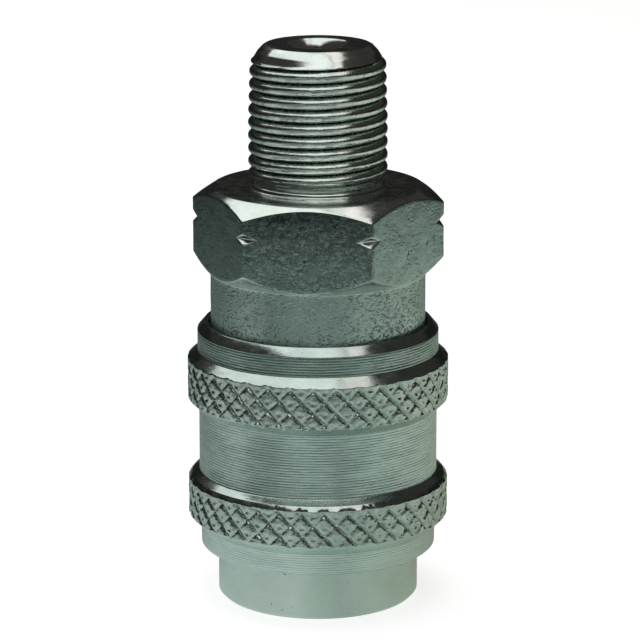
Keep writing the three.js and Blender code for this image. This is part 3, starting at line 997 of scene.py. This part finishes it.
def makeReflectedTable():
    # what the metal mirrors below it: a table top that is pale close by and dark further in front
    bm = bmesh.new()
    bmesh.ops.create_grid(bm, x_segments=1, y_segments=1, size=1.2)
    bmesh.ops.translate(bm, verts=bm.verts, vec=(0, 0, -0.0005))
    table = meshObject("table_reflection", bm)
    f = Finish("table glow")
    x, y = f.along("X"), f.along("Y")
    away = f.add("ShaderNodeVectorMath", {0: f.place}, operation="LENGTH").outputs["Value"]
    glow = f.ramp(f.remap(away, 0.0, 1.0, 0.0, 0.3), [
        (0.0, (0.64, 0.635, 0.63)), (0.1, (0.585, 0.575, 0.58)), (0.22, (0.49, 0.49, 0.495)),
        (0.4, (0.42, 0.43, 0.43)), (1.0, (0.36, 0.37, 0.365))])
    forward = f.remap(y, 0.0, 1.0, -0.078, -0.114)
    sideways = f.remap(f.maths("ABSOLUTE", x), 1.0, 0.0, 0.05, 0.14)
    color = f.tint(f.times(f.times(forward, sideways), 0.93), glow, (0.012, 0.016, 0.015, 1))
    # things standing round the table, by direction from the back through -X, the front and +X to the back:
    # a set for the metal's foot, one for its middle, and what that is multiplied by further out
    bearing = f.maths("ARCTAN2", x, f.times(y, -1.0))
    bearing = f.remap(bearing, 0.0, 1.0, -pi, pi)
    nearStrips = f.ramp(bearing, [
        (0.0, (0.38, 0.42, 0.36)), (0.126, (0.43, 0.48, 0.48)), (0.237, (0.62, 0.74, 0.71)),
        (0.404, (0.71, 0.82, 0.78)), (0.47, (0.72, 0.83, 0.79)), (0.515, (0.57, 0.69, 0.62)),
        (0.571, (0.50, 0.60, 0.55)), (0.626, (0.58, 0.68, 0.61)), (0.737, (0.52, 0.60, 0.49)),
        (0.904, (0.39, 0.42, 0.36)), (1.0, (0.38, 0.42, 0.36))])
    middleStrips = f.ramp(bearing, [
        (0.0, (0.58, 0.64, 0.53)), (0.126, (0.42, 0.50, 0.46)), (0.237, (0.60, 0.71, 0.65)),
        (0.30, (0.95, 1.0, 0.98)), (0.345, (0.52, 0.60, 0.57)), (0.404, (0.38, 0.44, 0.425)),
        (0.46, (0.73, 0.84, 0.80)), (0.515, (0.80, 0.93, 0.88)), (0.571, (0.44, 0.52, 0.49)),
        (0.626, (0.81, 0.94, 0.86)), (0.69, (0.80, 0.92, 0.81)), (0.74, (1.0, 1.0, 0.94)),
        (0.85, (0.74, 0.82, 0.66)), (0.91, (0.66, 0.74, 0.58)), (1.0, (0.58, 0.64, 0.53))])
    farShade = f.ramp(bearing, [
        (0.0, (0.6, 0.6, 0.6)), (0.126, (0.56, 0.57, 0.57)), (0.19, (0.58, 0.60, 0.61)),
        (0.28, (0.9, 0.9, 0.92)), (0.4, (1, 1, 1)), (0.62, (1, 1, 1)),
        (0.72, (1.35, 1.4, 1.4)), (0.85, (1.5, 1.6, 1.65)),
        (0.904, (0.9, 0.95, 1.0)), (1.0, (0.6, 0.6, 0.6))])
    strips = f.tint(f.remap(away, 0.0, 1.0, 0.022, 0.045), nearStrips, middleStrips)
    farStrips = f.tint(1.0, strips, farShade, "MULTIPLY")
    strips = f.tint(f.remap(away, 0.0, 1.0, 0.065, 0.09), strips, farStrips)
    aside = f.remap(y, 0.0, 1.0, -0.10, -0.02)
    gone = f.times(f.remap(away, 0.0, 1.0, 0.12, 0.14), aside)
    strips = f.tint(f.times(gone, 0.8), strips, (0.03, 0.035, 0.033, 1))
    color = f.tint(1.0, color, strips, "MULTIPLY")
    table.data.materials.append(f.glowing(color, stage["tableGlow"]))
    hideFromView(table)


def makeReflectedRoom():
    # a low ring round the table, brightest in front, which the slopes that face it mirror
    bm = bmesh.new()
    bmesh.ops.create_circle(bm, cap_ends=False, segments=96, radius=stage["roomR"])
    rim = bmesh.ops.extrude_edge_only(bm, edges=bm.edges[:])
    raised = [v for v in rim["geom"] if isinstance(v, bmesh.types.BMVert)]
    bmesh.ops.translate(bm, verts=raised, vec=(0, 0, stage["roomHeight"]))
    room = meshObject("room_reflection", bm)
    f = Finish("room glow")
    front = f.remap(f.along("Y"), 0.0, 1.0, -0.25, -0.46)
    color = f.tint(front, (0.014, 0.015, 0.013, 1), (0.32, 0.38, 0.34, 1))
    fade = f.remap(f.along("Z"), 1.0, 0.15, 0.05, stage["roomHeight"])
    color = f.tint(fade, (0.01, 0.01, 0.01, 1), color)
    room.data.materials.append(f.glowing(color, stage["roomGlow"]))
    hideFromView(room)


def makeLamp(name, place, size, power, color):
    # a level panel that shines down
    data = bpy.data.lights.new(name, "AREA")
    data.shape = "RECTANGLE"
    data.size, data.size_y = size
    data.energy = power
    data.color = color
    lamp = bpy.data.objects.new(name, data)
    lamp.location = place
    lamp.rotation_euler = (0, 0, radians(stage["panelTurn"]))
    bpy.context.scene.collection.objects.link(lamp)


def makeWorld():
    # white to the camera, nearly dark to everything else
    world = bpy.data.worlds.new("studio")
    bpy.context.scene.world = world
    world.use_nodes = True
    nodes, links = world.node_tree.nodes, world.node_tree.links
    plain = nodes["Background"]
    plain.inputs["Color"].default_value = (0.035, 0.033, 0.030, 1)
    white = nodes.new("ShaderNodeBackground")
    white.inputs["Color"].default_value = (0.98, 0.985, 0.985, 1)
    path = nodes.new("ShaderNodeLightPath")
    mix = nodes.new("ShaderNodeMixShader")
    links.new(path.outputs["Is Camera Ray"], mix.inputs["Fac"])
    links.new(plain.outputs[0], mix.inputs[1])
    links.new(white.outputs[0], mix.inputs[2])
    links.new(mix.outputs[0], nodes["World Output"].inputs["Surface"])


def makeCamera():
    s = stage
    data = bpy.data.cameras.new("camera")
    data.lens = s["lens"]
    data.sensor_width = s["sensor"]
    data.clip_start = 0.01
    camera = bpy.data.objects.new("camera", data)
    pitch = radians(s["pitch"])
    place = Vector((s["sideShift"], -s["distance"] * cos(pitch), s["aim"] + s["distance"] * sin(pitch))) * mm
    turn = Matrix.Rotation(radians(s["turn"]), 4, "Z")
    camera.matrix_world = turn @ Matrix.Translation(place) @ Matrix.Rotation(pi / 2 - pitch, 4, "X")
    bpy.context.scene.collection.objects.link(camera)
    bpy.context.scene.camera = camera


makeFloor()
makeReflectedTable()
makeReflectedRoom()
for panelName, panel in stage["panels"].items():
    makeLamp(panelName, *panel)
makeWorld()
makeCamera()
bpy.context.scene.view_settings.view_transform = "Standard"
print("stage made")
